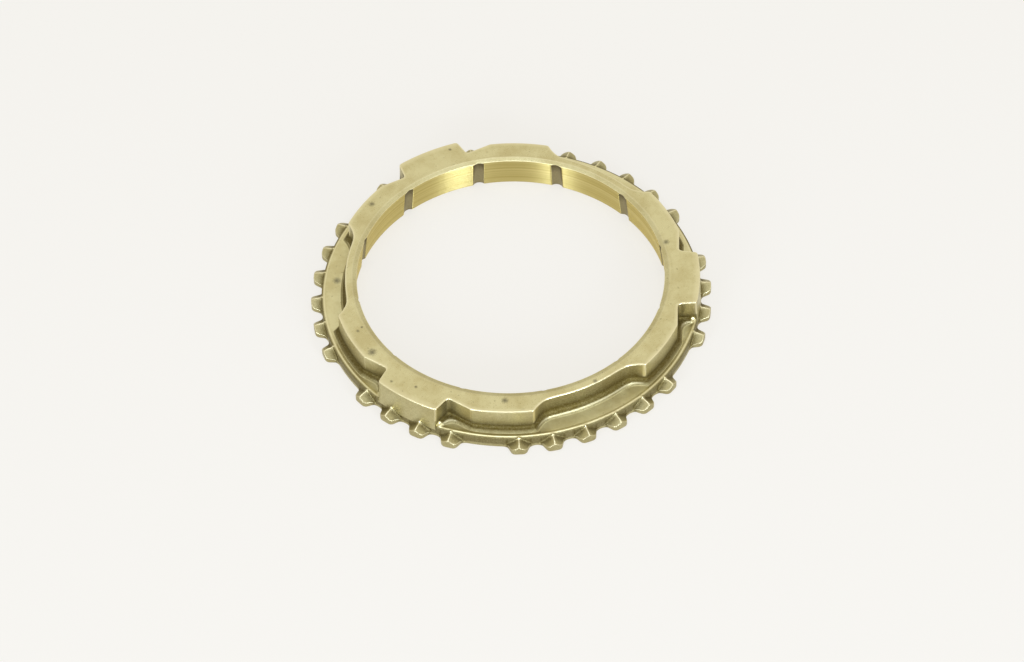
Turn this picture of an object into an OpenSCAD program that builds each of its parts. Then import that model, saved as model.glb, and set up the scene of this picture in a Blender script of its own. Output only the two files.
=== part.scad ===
// Synchronizer ring of a manual gearbox, forged in brass as one piece.
// The origin is on the axis, in the gear-side face. +Z points to the hub side.
// One of the three lugs is centred on +Y.

/* [Ring] */
// Height from the gear-side face to the hub-side face
ring_h = 11.4; // [10:0.1:14]
// Number of lugs, and of the patterns that repeat with them
lug_count = 3; // [3:1:3]

/* [Friction cone] */
// Diameter of the friction cone at its small end, on the hub side
cone_small_d = 91.6; // [88:0.1:93]
// Angle between the friction cone and the axis, in degrees
cone_half_angle = 7; // [6:0.25:8]
// Chamfer of the cone's large end, at the gear-side face
mouth_chamfer = 0.5; // [0.3:0.1:1.5]
// Radial width of the shallow bevel between the cone and the hub-side face
bevel_w = 1.6; // [0.8:0.1:1.8]
// How far that bevel falls towards the axis
bevel_drop = 0.4; // [0.2:0.05:0.8]

/* [Oil grooves] */
// Number of axial oil grooves in the friction cone
groove_count = 12; // [6:3:15]
// Width of a groove at the cone's surface
groove_w = 3.5; // [2.4:0.1:4]
// Depth of a groove below the cone's surface
groove_depth = 0.9; // [0.5:0.05:1.2]
// Radius of the corner at a groove's blind upper end
groove_corner_r = 0.9; // [0.4:0.1:1.1]
// How far a groove's blind end stays below the hub-side face
groove_land = 0.35; // [0.25:0.05:2]

/* [Hub wall] */
// Thickness of the wall on its wide arcs, from the cone's small end outwards
arc_wall = 7.45; // [6.9:0.05:8.2]
// Thickness of the wall at the bottom of its three recesses, measured the same way
recess_wall = 3.4; // [3:0.05:4.2]
// Angle that one recess spans at the wide arcs, in degrees
recess_angle = 40; // [36:1:46]
// Radius of the scoops that close a recess at both ends
recess_scoop_r = 12; // [9:0.5:15]
// Thickness of the wall in the middle of the flats that the lugs stand on
flat_wall = 4.1; // [3.8:0.05:4.8]
// Draft angle of the forged walls, in degrees
wall_draft = 2; // [1:0.25:3]
// Chamfer that wear has left on the upper outer edges
edge_break = 0.25; // [0.1:0.05:0.4]

/* [Lugs] */
// Radial width from the cone's small end to a lug's outer face, at the hub side
lug_reach = 10.5; // [9.7:0.05:10.6]
// Width of a lug at its outer face
lug_tip_w = 19.8; // [16:0.1:22]
// Width of a lug at its flat, above the bevel that fills the corner
lug_root_w = 21.2; // [17:0.1:24]
// Bevel on the two outer corners of a lug, seen along the axis
lug_corner = 0.6; // [0.2:0.1:1]
// Bevel that fills the corner between a lug and its flat
lug_fillet = 0.9; // [0.3:0.1:1.2]

/* [Flange] */
// Radial width from the cone's small end to the flange's outer wall
flange_w = 11; // [10.6:0.05:11.7]
// Height of the flange's web above the gear-side face
web_h = 3.6; // [3.4:0.05:4]
// How far the rim's crest stands above the web
rim_rise = 0.35; // [0.25:0.05:0.6]
// Radial width of the rim, from the web to the flange's outer wall
rim_w = 1.5; // [1:0.1:1.8]
// Radial width of the rounded shoulder outside the rim's crest
shoulder_w = 0.85; // [0.5:0.05:0.95]
// How far the shoulder falls from the crest to the flange's outer wall
shoulder_drop = 1.3; // [0.8:0.05:1.6]
// How far the ledge at the foot of the hub wall stands above the web
ledge_rise = 0.95; // [0.6:0.05:1.2]
// How far the ledge stands out from the hub wall
ledge_w = 1.2; // [0.9:0.05:1.4]
// Radial width and height of the bevel in the corner above the ledge
foot_bevel = 0.7; // [0.4:0.05:0.8]
// Chamfer of the flange's outer wall at the gear-side face
base_chamfer = 0.15; // [0.1:0.05:0.6]

/* [Teeth] */
// Number of tooth positions around the flange, taken or empty
tooth_positions = 36; // [30:6:42]
// Angle from a lug's centre to the empty position beside it, in degrees
tooth_gap_angle = 25; // [23:1:27]
// Radial length of a tooth, from the flange's outer wall to its tip
tooth_len = 3.2; // [2.4:0.1:5]
// Width of a tooth at its tip, before its corners are bevelled
tooth_tip_w = 4.1; // [3.4:0.1:4.6]
// Width of a tooth at its root, above the root's fillet
tooth_root_w = 6.3; // [5.2:0.1:6.8]
// Width and radial height of the bevel that fills the corner of a tooth's root
root_bevel = 0.55; // [0.2:0.05:0.8]
// Height of a tooth's ridge above the gear-side face, at the tip
ridge_h = 3.3; // [3:0.05:3.5]
// How far the ridge rises from the tip to the flange's outer wall
ridge_rise = 0.4; // [0.1:0.05:0.5]
// Angle between the two locking faces that meet in the ridge, in degrees
ridge_angle = 108; // [100:1:120]
// Chamfer of the tooth tips at the gear-side face
tip_chamfer = 0.4; // [0.1:0.05:0.8]
// Bevel on the two outer corners of a tooth, seen along the axis
tip_corner = 0.4; // [0.1:0.05:0.8]

/* [Hidden] */
$fn = 96;

// How far a cutter or a joined shape reaches past the surface that it meets
overrun = 2;

lug_pitch = 360 / lug_count;
tooth_pitch = 360 / tooth_positions;
groove_pitch = 360 / groove_count;

// Every radius is built outwards from the cone, so that the walls keep their widths
cone_small_r = cone_small_d / 2;
recess_r = cone_small_r + recess_wall;
wide_arc_r = cone_small_r + arc_wall;
flat_dist = cone_small_r + flat_wall;
lug_r = cone_small_r + lug_reach;
flange_r = cone_small_r + flange_w;
tip_r = flange_r + tooth_len;

// The cone's small end lies at the foot of the bevel
cone_top_z = ring_h - bevel_drop;
cone_slope = tan(cone_half_angle);
draft_slope = tan(wall_draft);
rim_inner_r = flange_r - rim_w;
crest_r = flange_r - shoulder_w;
crest_z = web_h + rim_rise;
ledge_z = web_h + ledge_rise;
ridge_tilt = atan(ridge_rise / (tip_r - flange_r));

// Distance from the axis at which the bevels of a lug's outer corners begin
lug_corner_y = sqrt(pow(lug_r, 2) - pow(lug_tip_w / 2, 2)) - lug_corner;

// The round cutter whose arc is as wide and as deep as a groove
groove_cut_r = (pow(groove_w / 2, 2) + pow(groove_depth, 2)) / (2 * groove_depth);
groove_len = ring_h - groove_land + overrun;

// The scoops bite into the recess wall a little, and their far side ends the recess
scoop_bite = 0.4;
scoop_dist = recess_r + recess_scoop_r - scoop_bite;
scoop_turn = acos(
    (pow(scoop_dist, 2) + pow(wide_arc_r, 2) - pow(recess_scoop_r, 2)) / (2 * scoop_dist * wide_arc_r)
);
scoop_angle = recess_angle / 2 - scoop_turn;

function cone_r(z) = cone_small_r + (cone_top_z - z) * cone_slope;
function drafted_r(top_r, z) = top_r + (ring_h - z) * draft_slope;

// Repeats its children at every lug, or midway between the lugs
module at_each_lug(turn = 0) {
    for (i = [0 : lug_count - 1])
        rotate(i * lug_pitch + turn)
            children();
}

// Outline of the hub wall seen along the axis, grown by the given width.
// It is wider than every wall on the arcs, where the turned shapes end it.
module hub_outline(grow) {
    difference() {
        circle(r = tip_r);
        at_each_lug()
            translate([-tip_r, flat_dist + grow])
                square([2 * tip_r, tip_r]);
        at_each_lug(lug_pitch / 2) {
            polygon([
                [0, 0],
                [-tip_r * tan(scoop_angle), tip_r],
                [tip_r * tan(scoop_angle), tip_r]
            ]);
            for (side = [-1, 1])
                rotate(side * scoop_angle)
                    translate([0, scoop_dist])
                        circle(r = recess_scoop_r - grow);
        }
    }
}

// Outline of one lug seen along the axis, grown by the given width
module lug_outline(grow) {
    root = lug_root_w / 2 + grow;
    tip = lug_tip_w / 2 + grow;
    polygon([
        [-root - lug_fillet, recess_r - overrun],
        [-root - lug_fillet, flat_dist + grow],
        [-root, flat_dist + grow + lug_fillet],
        [-tip, lug_corner_y],
        [-tip + lug_corner, lug_corner_y + lug_corner],
        [-tip + lug_corner, tip_r],
        [tip - lug_corner, tip_r],
        [tip - lug_corner, lug_corner_y + lug_corner],
        [tip, lug_corner_y],
        [root, flat_dist + grow + lug_fillet],
        [root + lug_fillet, flat_dist + grow],
        [root + lug_fillet, recess_r - overrun]
    ]);
}

// Turned wall with draft, a broken upper edge and a bevelled foot
module turned_wall(top_r, foot = 0) {
    foot_z = ledge_z - overrun;
    rotate_extrude()
        polygon(concat(
            [[cone_small_r - overrun, foot_z],
             [drafted_r(top_r, ledge_z) + foot, foot_z],
             [drafted_r(top_r, ledge_z) + foot, ledge_z]],
            foot > 0 ? [[drafted_r(top_r, ledge_z + foot), ledge_z + foot]] : [],
            [[drafted_r(top_r, ring_h - edge_break), ring_h - edge_break],
             [top_r - edge_break, ring_h],
             [cone_small_r - overrun, ring_h]]
        ));
}

// Hub wall: the recessed wall all round, the wide arcs, and the lugs
module hub_wall() {
    turned_wall(recess_r, foot_bevel);
    intersection() {
        turned_wall(wide_arc_r, foot_bevel);
        linear_extrude(ring_h + overrun)
            hub_outline(0);
    }
    intersection() {
        turned_wall(lug_r);
        linear_extrude(ring_h + overrun)
            at_each_lug()
                lug_outline(0);
    }
}

// Ledge that follows the foot of the hub wall, inside the rim
module ledge() {
    intersection() {
        cylinder(r = rim_inner_r, h = ledge_z);
        linear_extrude(ledge_z) {
            circle(r = drafted_r(recess_r, ledge_z) + ledge_w);
            intersection() {
                circle(r = drafted_r(wide_arc_r, ledge_z) + ledge_w);
                hub_outline(ledge_w);
            }
            at_each_lug()
                lug_outline(ledge_w);
        }
    }
}

// Flange: a flat web inside a raised rim, with a rounded shoulder and a
// chamfered lower edge
module flange() {
    rotate_extrude()
        polygon(concat(
            [[cone_small_r - overrun, 0],
             [flange_r - base_chamfer, 0],
             [flange_r, base_chamfer]],
            [for (turn = [90 : -30 : 0])
                [crest_r + shoulder_w * sin(turn),
                 crest_z - shoulder_drop * (1 - cos(turn))]],
            [[rim_inner_r, web_h],
             [cone_small_r - overrun, web_h]]
        ));
}

// One tooth on +Y: a tapered block under two locking faces that meet in a ridge
module tooth() {
    root_r = flange_r - rim_w / 2;
    roof_w = tooth_root_w + 2 * root_bevel;
    roof_drop = roof_w / 2 / tan(ridge_angle / 2);
    intersection() {
        linear_extrude(crest_z)
            polygon([
                [-tooth_root_w / 2 - root_bevel, root_r],
                [-tooth_root_w / 2 - root_bevel, flange_r],
                [-tooth_root_w / 2, flange_r + root_bevel],
                [-tooth_tip_w / 2, tip_r - tip_corner],
                [-tooth_tip_w / 2 + tip_corner, tip_r],
                [-tooth_tip_w / 2 + tip_corner, tip_r + overrun],
                [tooth_tip_w / 2 - tip_corner, tip_r + overrun],
                [tooth_tip_w / 2 - tip_corner, tip_r],
                [tooth_tip_w / 2, tip_r - tip_corner],
                [tooth_root_w / 2, flange_r + root_bevel],
                [tooth_root_w / 2 + root_bevel, flange_r],
                [tooth_root_w / 2 + root_bevel, root_r]
            ]);
        translate([0, tip_r, ridge_h])
            rotate([-ridge_tilt, 0, 0])
                translate([0, root_r - tip_r - overrun, 0])
                    rotate([90, 0, 180])
                        linear_extrude(tip_r - root_r + 2 * overrun)
                            polygon([
                                [-roof_w / 2, -crest_z - overrun],
                                [-roof_w / 2, -roof_drop],
                                [0, 0],
                                [roof_w / 2, -roof_drop],
                                [roof_w / 2, -crest_z - overrun]
                            ]);
    }
}

// The ring of teeth, turned to the tip diameter, with an empty position on
// each side of every lug
module teeth() {
    intersection() {
        rotate_extrude()
            polygon([
                [cone_small_r, 0],
                [tip_r - tip_chamfer, 0],
                [tip_r, tip_chamfer],
                [tip_r, ring_h],
                [cone_small_r, ring_h]
            ]);
        union() {
            for (i = [0 : tooth_positions - 1]) {
                turn = (i + 0.5) * tooth_pitch;
                from_lug = abs((turn + lug_pitch / 2) % lug_pitch - lug_pitch / 2);
                if (abs(from_lug - tooth_gap_angle) > tooth_pitch / 2)
                    rotate(turn)
                        tooth();
            }
        }
    }
}

// Space inside the ring: the bevel, the friction cone and its chamfered mouth
module cone_bore() {
    rotate_extrude()
        polygon([
            [0, -overrun],
            [cone_r(mouth_chamfer) + mouth_chamfer + overrun, -overrun],
            [cone_r(mouth_chamfer), mouth_chamfer],
            [cone_small_r, cone_top_z],
            [cone_small_r + bevel_w, ring_h],
            [cone_small_r + bevel_w, ring_h + overrun],
            [0, ring_h + overrun]
        ]);
}

// Round-nosed cutter of one oil groove, laid along the cone's wall on +Y
module groove_cutter() {
    translate([0, cone_r(0) + groove_depth - groove_cut_r, 0])
        rotate([cone_half_angle, 0, 0])
            translate([0, 0, -overrun])
                rotate_extrude()
                    polygon(concat(
                        [[0, 0], [groove_cut_r, 0]],
                        [for (turn = [0 : 15 : 90])
                            [groove_cut_r - groove_corner_r * (1 - cos(turn)),
                             groove_len - groove_corner_r * (1 - sin(turn))]],
                        [[0, groove_len]]
                    ));
}

module synchronizer_ring() {
    color("#B9AC6B")
        difference() {
            union() {
                flange();
                ledge();
                hub_wall();
                teeth();
            }
            cone_bore();
            for (i = [0 : groove_count - 1])
                rotate((i + 0.5) * groove_pitch)
                    groove_cutter();
        }
}

synchronizer_ring();
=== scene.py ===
"""Looks of a brass synchronizer ring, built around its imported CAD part.

The ring is one forging, so it is one closed skin: a section loop in the plane of the axis,
carried round the axis while its radii and heights change with the angle. Every size is in
millimetres until the mesh is made. Angles are in degrees, counted counter-clockwise from
the lug that stands on +Y.
"""

from __future__ import annotations

import logging
import math
from collections.abc import Callable
from dataclasses import dataclass, field
from enum import Enum

import bpy
import numpy as np
from mathutils import Matrix

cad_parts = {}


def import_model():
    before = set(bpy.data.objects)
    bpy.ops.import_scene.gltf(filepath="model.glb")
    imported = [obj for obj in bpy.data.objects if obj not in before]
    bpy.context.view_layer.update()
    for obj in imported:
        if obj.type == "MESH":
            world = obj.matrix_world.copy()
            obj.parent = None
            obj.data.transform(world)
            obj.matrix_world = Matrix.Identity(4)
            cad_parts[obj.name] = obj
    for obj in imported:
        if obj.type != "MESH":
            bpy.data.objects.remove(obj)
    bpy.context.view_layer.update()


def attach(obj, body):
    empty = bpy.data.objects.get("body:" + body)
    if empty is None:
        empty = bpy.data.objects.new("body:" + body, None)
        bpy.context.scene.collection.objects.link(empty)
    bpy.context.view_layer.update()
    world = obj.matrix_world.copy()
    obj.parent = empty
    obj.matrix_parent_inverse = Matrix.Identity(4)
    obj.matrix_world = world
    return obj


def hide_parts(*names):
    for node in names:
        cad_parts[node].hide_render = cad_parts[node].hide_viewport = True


LOG = logging.getLogger("synchronizer_ring")

MM = 0.001
PHOTO_WIDTH = 1024
# How far out a ray is searched for the edge of the brass, and how often that span is halved
SEARCH_MM = 20.0
HALVINGS = 34
# A distance that stands for a tooth that isn't there
NOWHERE = 9.0

# Columns in degrees: beside a tooth's middle, the middles of the teeth in half a third, the gap
# beside a lug, and the corners of the hub wall, with the least angle between two columns
TOOTH_COLUMNS = (0, 0.1, 0.3, 0.75, 1.25, 1.5, 1.65, 1.78, 1.92, 2.06, 2.25, 2.6, 3.0, 3.25,
                 3.5, 3.9, 4.4)
TOOTH_CENTRES = (5, 15, 35, 45, 55)
GAP_COLUMNS = np.arange(20.75, 30.0, 1.15)
WALL_COLUMNS = (9.2, 9.5, 9.75, 9.92, 10.08, 10.22, 10.38, 10.6, 10.85, 11.2, 11.6, 12.2, 19.7,
                20.0, 20.28, 20.55, 20.9, 39.45, 39.75, 39.95, 40.12, 40.3, 40.55, 40.9, 46.3,
                47.1)
LEAST_COLUMN = 0.045
# Rows over a tooth's roof and up the flange's wall, as shares of the way
ROOF_SHARES = (0.0, 0.12, 0.35, 0.6, 0.82, 0.9, 0.955, 0.988, 1.0)
FLANGE_SHARES = (0.15, 0.55, 0.95)
# Rows of the gear-side face and of the rim, as radii
BASE_RADII = (49.6, 52.0, 54.5)
RIM_RADII = (56.78, 56.72, 56.62, 56.5, 56.34, 56.14, 55.92, 55.7, 55.45, 55.2)
# Rows over the web and the ledge, as distances outside the hub wall
FOOT_LEVELS = (1.86, 1.68, 1.5, 1.33, 1.17, 1.02, 0.87, 0.7, 0.5, 0.3, 0.14, 0.04)
# Rows up the hub wall, in over the hub face as shares, down the bevel and down the cone
WALL_HEIGHTS = (6.5, 7.8, 9.2, 10.5)
FACE_SHARES = (0.3, 0.65, 0.95, 1.0)
BEVEL_OFFSETS = (-0.06, -0.8, -1.35, -1.54)
CONE_HEIGHTS = (10.97, 10.88, 10.75, 10.6, 10.42, 10.2, 9.8, 9.0, 7.8, 6.4, 5.0, 3.6, 2.2, 1.2)

# Dirt spots on the hub face: x, y and radius
FACE_STAINS = (
    (-23.8, -42.7, 1.0), (-49.7, -8.3, 1.3), (37.5, -36.6, 0.8), (46.7, -11.2, 0.9),
    (6.7, 53.6, 0.5), (-24.4, 44.5, 0.9), (-49.5, -20.9, 0.45), (-44.2, -26.1, 0.5),
    (-49.9, 0.9, 0.5), (-48.2, 1.7, 0.4), (2.5, -48.5, 0.7),
)
# The same on the web
WEB_STAINS = ((-44.5, 27.8, 1.2),)

# One row of the skin: radii and heights, an array of one for each column or one for all
Row = tuple[np.ndarray | float, np.ndarray | float]
# The start and end of a smooth step, or the middle and width of a line
Span = tuple[float, float]


def smooth_min(a: np.ndarray, b: np.ndarray, width: float) -> np.ndarray:
    """Returns the smaller of two values, rounded over where they are close.

    Within the given width of each other the two are joined by a parabola, which rounds
    the corner where one curve cuts the other.

    Args:
        a: First values.
        b: Second values.
        width: Difference below which the corner is rounded.

    Returns:
        The rounded minimum.
    """
    share = np.clip(0.5 + 0.5 * (b - a) / width, 0.0, 1.0)
    return b * (1.0 - share) + a * share - width * share * (1.0 - share)


def smooth_max(a: np.ndarray, b: np.ndarray, width: float) -> np.ndarray:
    """Returns the larger of two values, rounded over where they are close.

    Args:
        a: First values.
        b: Second values.
        width: Difference below which the corner is rounded.

    Returns:
        The rounded maximum.
    """
    return -smooth_min(-a, -b, width)


def smooth_step(value: np.ndarray, start: float, end: float) -> np.ndarray:
    """Returns 0 before start, 1 after end, and a smooth S between them.

    Args:
        value: Where the step is read.
        start: Where it leaves 0.
        end: Where it reaches 1.

    Returns:
        The step, 3 t squared less 2 t cubed with t from 0 to 1.
    """
    t = np.clip((value - start) / (end - start), 0.0, 1.0)
    return t * t * (3.0 - 2.0 * t)


def crossing(distance: Callable[[np.ndarray], np.ndarray], low: np.ndarray) -> np.ndarray:
    """Finds the radius at which each ray from the axis leaves the brass, by halving.

    Args:
        distance: Gives the signed distance at one radius for each ray, negative in brass.
        low: Radii that lie in the brass, one for each ray.

    Returns:
        The radii where the distance is zero.
    """
    low = low.astype(float)
    high = low + SEARCH_MM
    for _ in range(HALVINGS):
        middle = (low + high) / 2
        outside = distance(middle) > 0.0
        high = np.where(outside, middle, high)
        low = np.where(outside, low, middle)
    return (low + high) / 2


def folded(phi: np.ndarray, pitch: float) -> np.ndarray:
    """Returns the signed angle from the nearest multiple of the pitch."""
    return (phi + pitch / 2) % pitch - pitch / 2


def bell(value: np.ndarray, centre: float, width: float) -> np.ndarray:
    """Returns 1 at the centre, and e to minus the square of the distance over the width."""
    return np.exp(-(((value - centre) / width) ** 2))


def srgb(code: str) -> tuple[float, float, float, float]:
    """Turns a colour as it is seen on a screen into the linear one that a shader reads.

    Args:
        code: The sRGB colour as #RRGGBB.

    Returns:
        Linear red, green, blue and an alpha of 1.
    """
    shares = [int(code[i : i + 2], 16) / 255 for i in (1, 3, 5)]
    linear = [s / 12.92 if s <= 0.04045 else ((s + 0.055) / 1.055) ** 2.4 for s in shares]
    return (linear[0], linear[1], linear[2], 1.0)


@dataclass(frozen=True)
class FrictionCone:
    """The turned bore: a cone that widens to the gear side, cut by axial oil grooves."""

    small_r: float = 45.8
    half_angle: float = 7.0
    top_z: float = 11.0
    mouth: float = 0.5
    bevel_w: float = 1.6
    bevel_drop: float = 0.4
    groove_pitch: float = 30.0
    groove_half_w: float = 1.75
    groove_depth: float = 0.9
    groove_corner_r: float = 0.9
    groove_top_z: float = 11.05
    groove_edge: float = 0.12
    bevel_edge: float = 0.08
    cone_edge: float = 0.03

    def radius(self, z: np.ndarray | float) -> np.ndarray | float:
        """Returns the cone's radius, which grows by the tangent of its half angle downwards."""
        return self.small_r + (self.top_z - z) * math.tan(math.radians(self.half_angle))

    def groove(self, phi: np.ndarray, z: np.ndarray | float) -> np.ndarray:
        """Returns how deep the oil grooves are below the cone's surface.

        A groove is the path of a round-nosed cutter, so across the groove the depth is that
        of a circle's arc, and at the blind end the circle shrinks along a corner radius.

        Args:
            phi: Angles round the axis.
            z: Heights, of a shape that fits phi.

        Returns:
            Depths in the radial direction, 0 between the grooves.
        """
        across = np.radians(folded(phi - self.groove_pitch / 2, self.groove_pitch)) * self.small_r
        cutter = (self.groove_half_w**2 + self.groove_depth**2) / (2 * self.groove_depth)
        short = np.clip(self.groove_corner_r - (self.groove_top_z - z), 0.0, self.groove_corner_r)
        shrunk = cutter - self.groove_corner_r + np.sqrt(self.groove_corner_r**2 - short**2)
        arc = np.sqrt(np.clip(shrunk**2 - across**2, 0.0, None)) - (cutter - self.groove_depth)
        # Where two equal values are rounded over, the larger is lifted by a quarter of the width
        rounded = smooth_max(arc, np.zeros_like(arc), self.groove_edge) - self.groove_edge / 4
        return np.clip(rounded, 0.0, None)


@dataclass(frozen=True)
class HubWall:
    """The stepped wall on the hub side: recesses, wide arcs, flats and lugs."""

    ring_h: float = 11.4
    lug_pitch: float = 120.0
    wide_r: float = 53.25
    recess_r: float = 49.2
    recess_angle: float = 40.0
    scoop_r: float = 12.0
    scoop_bite: float = 0.4
    scoop_blend: float = 1.0
    flat_dist: float = 49.9
    draft: float = 2.0
    lug_r: float = 56.3
    lug_tip_w: float = 19.8
    lug_root_w: float = 21.2
    flat_corner: float = 0.12
    corner: float = 0.55
    lug_corner: float = 0.9
    lug_fillet: float = 1.1
    search_in: float = 2.5
    # Painted highlights on the upright convex corners: angle, width and strength
    sheen_corners: tuple[tuple[float, float, float], ...] = (
        (10.05, 0.35, 0.7), (20.3, 0.4, 0.4), (40.1, 0.45, 1.0))

    def distance(
        self, phi: np.ndarray, r: np.ndarray, z: np.ndarray | float, fillet: float
    ) -> np.ndarray:
        """Returns the distance outside the wall's outline, negative in the brass.

        The turned parts grow downwards with the draft. The body is the wide arc, cut by the
        straight flat and by the recess, which is a wider cut between two scoop circles. The
        lug is an arc between two straight flanks that lean in. The larger of two distances
        keeps what both shapes hold, the smaller joins them, and both are rounded over.

        Args:
            phi: Angles round the axis.
            r: Radii.
            z: Heights.
            fillet: Width of the rounding between a lug and its flat.

        Returns:
            Signed distances.
        """
        angle = np.radians(np.abs(folded(phi, self.lug_pitch)))
        x, y = r * np.sin(angle), r * np.cos(angle)
        drafted = (self.ring_h - z) * math.tan(math.radians(self.draft))
        body = smooth_max(r - self.wide_r - drafted, y - self.flat_dist, self.flat_corner)
        far = self.recess_r + self.scoop_r - self.scoop_bite
        turn = math.acos((far**2 + self.wide_r**2 - self.scoop_r**2) / (2 * far * self.wide_r))
        middle = math.radians(self.lug_pitch / 2)
        past = np.maximum(middle - angle - math.radians(self.recess_angle / 2) + turn, 0.0)
        scoop = self.scoop_r - np.sqrt(r**2 + far**2 - 2 * r * far * np.cos(past))
        recess = smooth_min(scoop, r - self.recess_r - drafted, self.scoop_blend)
        body = smooth_max(body, recess, self.corner)
        lean = (self.lug_root_w - self.lug_tip_w) / 2 / (self.lug_r - self.flat_dist)
        flank = x - self.lug_root_w / 2 + lean * (y - self.flat_dist)
        lug = smooth_max(r - self.lug_r - drafted, flank, self.lug_corner)
        return smooth_min(body, lug, fillet)

    def outline(
        self, phi: np.ndarray, z: np.ndarray | float, level: float = 0.0, fillet: float = 0.0
    ) -> np.ndarray:
        """Returns the radius at which the distance outside the wall reaches a level.

        Args:
            phi: Angles round the axis.
            z: Heights.
            level: The distance.
            fillet: Width of the rounding beside a lug, or 0 for the wall's own.

        Returns:
            Radii.
        """
        wide = fillet or self.lug_fillet
        return crossing(lambda r: self.distance(phi, r, z, wide) - level,
                        np.full(phi.shape, self.recess_r - self.search_in))

    def corner_wear(self, phi: np.ndarray) -> np.ndarray:
        """Returns the painted highlight of the upright convex corners, by angle, width and
        strength.
        """
        from_lug = np.abs(folded(phi, self.lug_pitch))
        return np.max([w * bell(from_lug, at, wide) for at, wide, w in self.sheen_corners], axis=0)


@dataclass(frozen=True)
class Flange:
    """The web, its raised rim with a rounded shoulder, the ledge, and the outer wall."""

    outer_r: float = 56.8
    web_z: float = 3.6
    crest_z: float = 3.9
    crest_r: float = 55.95
    shoulder_z: float = 2.65
    foot_r: float = 54.4
    base_edge: float = 0.15
    ledge_rise: float = 0.95
    ledge_w: float = 1.2
    ledge_round: float = 0.45
    ledge_blend: float = 0.5
    ledge_fades: tuple[float, float, float] = (54.6, 55.9, 0.75)
    ledge_fillet: float = 3.2
    foot_fillet: float = 0.95
    recess_fillet: float = 1.7
    recess_step: Span = (39.5, 43.0)

    @property
    def ledge_z(self) -> float:
        """Height of the ledge."""
        return self.web_z + self.ledge_rise

    def rim(self, r: np.ndarray) -> np.ndarray:
        """Returns the rim's height: a smooth rise from the web, then a quarter of an ellipse.

        Args:
            r: Radii.

        Returns:
            Heights.
        """
        rise = self.web_z + (self.crest_z - self.web_z) * smooth_step(r, self.foot_r, self.crest_r)
        out = np.clip((r - self.crest_r) / (self.outer_r - self.crest_r), 0.0, 1.0)
        return rise - (self.crest_z - self.shoulder_z) * (1.0 - np.sqrt(1.0 - out**2))

    def shelf(
        self, r: np.ndarray, away: np.ndarray, near: np.ndarray, fillet: np.ndarray
    ) -> np.ndarray:
        """Returns the height of rim, web and ledge.

        The ledge is a smooth step that follows the wall's outline at the ledge's width and
        fades out towards the rim. Above it a circular fillet turns up into the wall.

        Args:
            r: Radii.
            away: Distances outside the wall's outline with the ledge's rounding at a lug.
            near: Distances outside the wall's own outline.
            fillet: Radii of the fillet at the wall's foot.

        Returns:
            Heights.
        """
        step = 1.0 - smooth_step(away, self.ledge_w - self.ledge_round,
                                 self.ledge_w + self.ledge_round)
        start, end, most = self.ledge_fades
        fade = 1.0 - most * smooth_step(r, start, end)
        ledge = self.web_z + self.ledge_rise * step * fade
        short = np.clip(fillet - near, 0.0, fillet)
        foot = fillet - np.sqrt(fillet**2 - short**2)
        return smooth_max(self.rim(r), ledge, self.ledge_blend) + foot


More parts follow.
